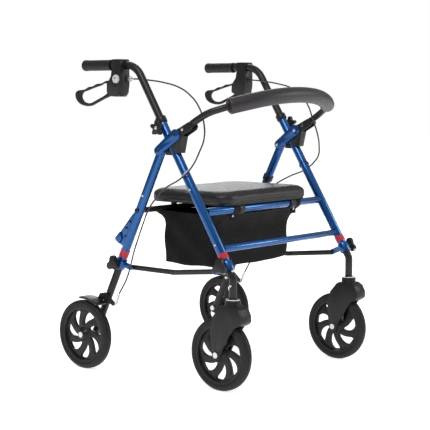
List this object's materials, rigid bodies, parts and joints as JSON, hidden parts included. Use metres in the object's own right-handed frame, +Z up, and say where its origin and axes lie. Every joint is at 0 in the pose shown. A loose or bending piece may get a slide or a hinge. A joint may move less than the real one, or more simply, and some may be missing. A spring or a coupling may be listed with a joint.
{
  "type": "rollator walker",
  "caption": "Folding four-wheeled rollator with swivelling front casters, padded seat, carry bag, curved padded backrest, height-adjustable handles and cable brakes.",
  "frame": {"origin": "on the floor, midway between the front and rear axles and midway between the two sides", "axes": "+Z up; the walker rolls forward along -Y; its user's right side is -X"},
  "size_m": [0.6662, 0.682, 0.893],
  "materials": {
    "frame_blue": "glossy metallic blue paint over steel tube",
    "black_tube": "satin black powder coat",
    "black_plastic": "moulded, fine textured",
    "grip_rubber": "soft moulded rubber",
    "foam": "closed-cell foam sleeve with a light sheen",
    "vinyl": "grained upholstery vinyl, glossy",
    "nylon": "woven nylon, matte",
    "tyre": "solid rubber, matte",
    "rim_plastic": "moulded, satin",
    "steel": "zinc plated, satin",
    "cable": "smooth cable housing"
  },
  "bodies": {
    "front_frame": {"seat_crossbar": "frame_blue", "lower_crossbar": "frame_blue", "bag": "nylon", "front_leg_right": "frame_blue", "fold_bracket_right": "frame_blue", "backrest_socket_right": "black_plastic", "front_collar_right": "frame_blue", "brake_cable_right": "cable", "front_leg_left": "frame_blue", "fold_bracket_left": "frame_blue", "backrest_socket_left": "black_plastic", "front_collar_left": "frame_blue", "brake_cable_left": "cable"},
    "rear_frame": {"rear_crossbar": "black_tube", "rear_leg_right": "frame_blue", "rear_collar_right": "frame_blue", "rear_leg_left": "frame_blue", "rear_collar_left": "frame_blue"},
    "seat": {"seat_pad": "vinyl", "seat_board": "black_plastic"},
    "backrest": {"backrest_tube": "black_tube", "backrest_foam": "foam"},
    "rear_extension_right": {"rear_extension_right": "black_tube", "axle_rear_right": "steel"},
    "rear_wheel_right": {"wheel_rim_rear_right": "rim_plastic", "tyre_rear_right": "tyre"},
    "brake_arm_right": {"brake_arm_right": "black_tube"},
    "brace_front_right": {"brace_front_right": "black_tube"},
    "brace_rear_right": {"brace_rear_right": "black_tube"},
    "caster_stem_right": {"caster_stem_right": "black_tube"},
    "caster_fork_right": {"caster_fork_right": "black_plastic", "axle_front_right": "steel"},
    "front_wheel_right": {"wheel_rim_front_right": "rim_plastic", "tyre_front_right": "tyre"},
    "handle_right": {"handle_tube_right": "black_tube", "hand_grip_right": "grip_rubber", "brake_housing_right": "black_plastic"},
    "brake_lever_right": {"brake_lever_right": "black_plastic"},
    "height_knob_right": {"height_knob_right": "black_plastic"},
    "leg_knob_front_right": {"leg_knob_front_right": "black_plastic"},
    "leg_knob_rear_right": {"leg_knob_rear_right": "black_plastic"},
    "rear_extension_left": {"rear_extension_left": "black_tube", "axle_rear_left": "steel"},
    "rear_wheel_left": {"wheel_rim_rear_left": "rim_plastic", "tyre_rear_left": "tyre"},
    "brake_arm_left": {"brake_arm_left": "black_tube"},
    "brace_front_left": {"brace_front_left": "black_tube"},
    "brace_rear_left": {"brace_rear_left": "black_tube"},
    "caster_stem_left": {"caster_stem_left": "black_tube"},
    "caster_fork_left": {"caster_fork_left": "black_plastic", "axle_front_left": "steel"},
    "front_wheel_left": {"wheel_rim_front_left": "rim_plastic", "tyre_front_left": "tyre"},
    "handle_left": {"handle_tube_left": "black_tube", "hand_grip_left": "grip_rubber", "brake_housing_left": "black_plastic"},
    "brake_lever_left": {"brake_lever_left": "black_plastic"},
    "height_knob_left": {"height_knob_left": "black_plastic"},
    "leg_knob_front_left": {"leg_knob_front_left": "black_plastic"},
    "leg_knob_rear_left": {"leg_knob_rear_left": "black_plastic"}
  },
  "joints": [
    {"name": "frame_fold", "type": "hinge", "parent": "front_frame", "child": "rear_frame", "pos_m": [0, -0.0235, 0.64], "axis": [-1, 0, 0], "range_deg": [0, 35], "deforming": ["brake_cable_right", "brake_cable_left"]},
    {"name": "seat_flip", "type": "hinge", "parent": "front_frame", "child": "seat", "pos_m": [0, -0.1775, 0.478], "axis": [1, 0, 0], "range_deg": [0, 80]},
    {"name": "backrest_hinge", "type": "hinge", "parent": "front_frame", "child": "backrest", "pos_m": [0, -0.114, 0.701], "axis": [-1, 0, 0], "range_deg": [0, 75]},
    {"name": "handle_height_right", "type": "slide", "parent": "front_frame", "child": "handle_right", "axis": [0, 0.5284, 0.849], "range_m": [0, 0.125]},
    {"name": "front_leg_height_right", "type": "slide", "parent": "front_frame", "child": "caster_stem_right", "axis": [0, -0.5284, -0.849], "range_m": [0, 0.05]},
    {"name": "rear_leg_height_right", "type": "slide", "parent": "rear_frame", "child": "rear_extension_right", "axis": [0, 0.4446, -0.8957], "range_m": [0, 0.05]},
    {"name": "brake_lever_squeeze_right", "type": "hinge", "parent": "handle_right", "child": "brake_lever_right", "pos_m": [-0.287, 0.131, 0.818], "axis": [1, 0, 0], "range_deg": [0, 14]},
    {"name": "brake_shoe_right", "type": "hinge", "parent": "rear_extension_right", "child": "brake_arm_right", "pos_m": [-0.271, 0.1839, 0.215], "axis": [-1, 0, 0], "range_deg": [0, 3]},
    {"name": "caster_swivel_right", "type": "hinge", "parent": "caster_stem_right", "child": "caster_fork_right", "pos_m": [-0.271, -0.282, 0.25], "axis": [0, 0, 1], "continuous": true},
    {"name": "front_wheel_spin_right", "type": "hinge", "parent": "caster_fork_right", "child": "front_wheel_right", "pos_m": [-0.271, -0.241, 0.1], "axis": [1, 0, 0], "continuous": true},
    {"name": "rear_wheel_spin_right", "type": "hinge", "parent": "rear_extension_right", "child": "rear_wheel_right", "pos_m": [-0.314, 0.241, 0.1], "axis": [1, 0, 0], "continuous": true},
    {"name": "height_knob_turn_right", "type": "hinge", "parent": "front_frame", "child": "height_knob_right", "pos_m": [-0.271, -0.0372, 0.704], "axis": [1, 0, 0], "continuous": true},
    {"name": "front_leg_knob_turn_right", "type": "hinge", "parent": "front_frame", "child": "leg_knob_front_right", "pos_m": [-0.271, -0.2625, 0.342], "axis": [1, 0, 0], "continuous": true},
    {"name": "rear_leg_knob_turn_right", "type": "hinge", "parent": "rear_frame", "child": "leg_knob_rear_right", "pos_m": [-0.271, 0.1343, 0.315], "axis": [1, 0, 0], "continuous": true},
    {"name": "brace_front_fold_right", "type": "hinge", "parent": "front_frame", "child": "brace_front_right", "pos_m": [-0.271, -0.219, 0.321], "axis": [1, 0, 0], "range_deg": [0, 62.3]},
    {"name": "brace_rear_fold_right", "type": "hinge", "parent": "rear_frame", "child": "brace_rear_right", "pos_m": [-0.271, 0.096, 0.304], "axis": [-1, 0, 0], "range_deg": [0, 50.7]},
    {"name": "handle_height_left", "type": "slide", "parent": "front_frame", "child": "handle_left", "axis": [0, 0.5284, 0.849], "range_m": [0, 0.125]},
    {"name": "front_leg_height_left", "type": "slide", "parent": "front_frame", "child": "caster_stem_left", "axis": [0, -0.5284, -0.849], "range_m": [0, 0.05]},
    {"name": "rear_leg_height_left", "type": "slide", "parent": "rear_frame", "child": "rear_extension_left", "axis": [0, 0.4446, -0.8957], "range_m": [0, 0.05]},
    {"name": "brake_lever_squeeze_left", "type": "hinge", "parent": "handle_left", "child": "brake_lever_left", "pos_m": [0.287, 0.131, 0.818], "axis": [1, 0, 0], "range_deg": [0, 14]},
    {"name": "brake_shoe_left", "type": "hinge", "parent": "rear_extension_left", "child": "brake_arm_left", "pos_m": [0.271, 0.1839, 0.215], "axis": [-1, 0, 0], "range_deg": [0, 3]},
    {"name": "caster_swivel_left", "type": "hinge", "parent": "caster_stem_left", "child": "caster_fork_left", "pos_m": [0.271, -0.282, 0.25], "axis": [0, 0, 1], "continuous": true},
    {"name": "front_wheel_spin_left", "type": "hinge", "parent": "caster_fork_left", "child": "front_wheel_left", "pos_m": [0.271, -0.241, 0.1], "axis": [1, 0, 0], "continuous": true},
    {"name": "rear_wheel_spin_left", "type": "hinge", "parent": "rear_extension_left", "child": "rear_wheel_left", "pos_m": [0.314, 0.241, 0.1], "axis": [1, 0, 0], "continuous": true},
    {"name": "height_knob_turn_left", "type": "hinge", "parent": "front_frame", "child": "height_knob_left", "pos_m": [0.271, -0.0372, 0.704], "axis": [1, 0, 0], "continuous": true},
    {"name": "front_leg_knob_turn_left", "type": "hinge", "parent": "front_frame", "child": "leg_knob_front_left", "pos_m": [0.271, -0.2625, 0.342], "axis": [1, 0, 0], "continuous": true},
    {"name": "rear_leg_knob_turn_left", "type": "hinge", "parent": "rear_frame", "child": "leg_knob_rear_left", "pos_m": [0.271, 0.1343, 0.315], "axis": [1, 0, 0], "continuous": true},
    {"name": "brace_front_fold_left", "type": "hinge", "parent": "front_frame", "child": "brace_front_left", "pos_m": [0.271, -0.219, 0.321], "axis": [1, 0, 0], "range_deg": [0, 62.3]},
    {"name": "brace_rear_fold_left", "type": "hinge", "parent": "rear_frame", "child": "brace_rear_left", "pos_m": [0.271, 0.096, 0.304], "axis": [-1, 0, 0], "range_deg": [0, 50.7]}
  ],
  "couplings": [
    {"joint": "brace_front_fold_right", "follows": "frame_fold", "ratio": 1.7771},
    {"joint": "brace_rear_fold_right", "follows": "frame_fold", "ratio": 1.4457},
    {"joint": "brake_shoe_right", "follows": "brake_lever_squeeze_right", "ratio": 0.2143},
    {"joint": "brace_front_fold_left", "follows": "frame_fold", "ratio": 1.7771},
    {"joint": "brace_rear_fold_left", "follows": "frame_fold", "ratio": 1.4457},
    {"joint": "brake_shoe_left", "follows": "brake_lever_squeeze_left", "ratio": 0.2143}
  ]
}
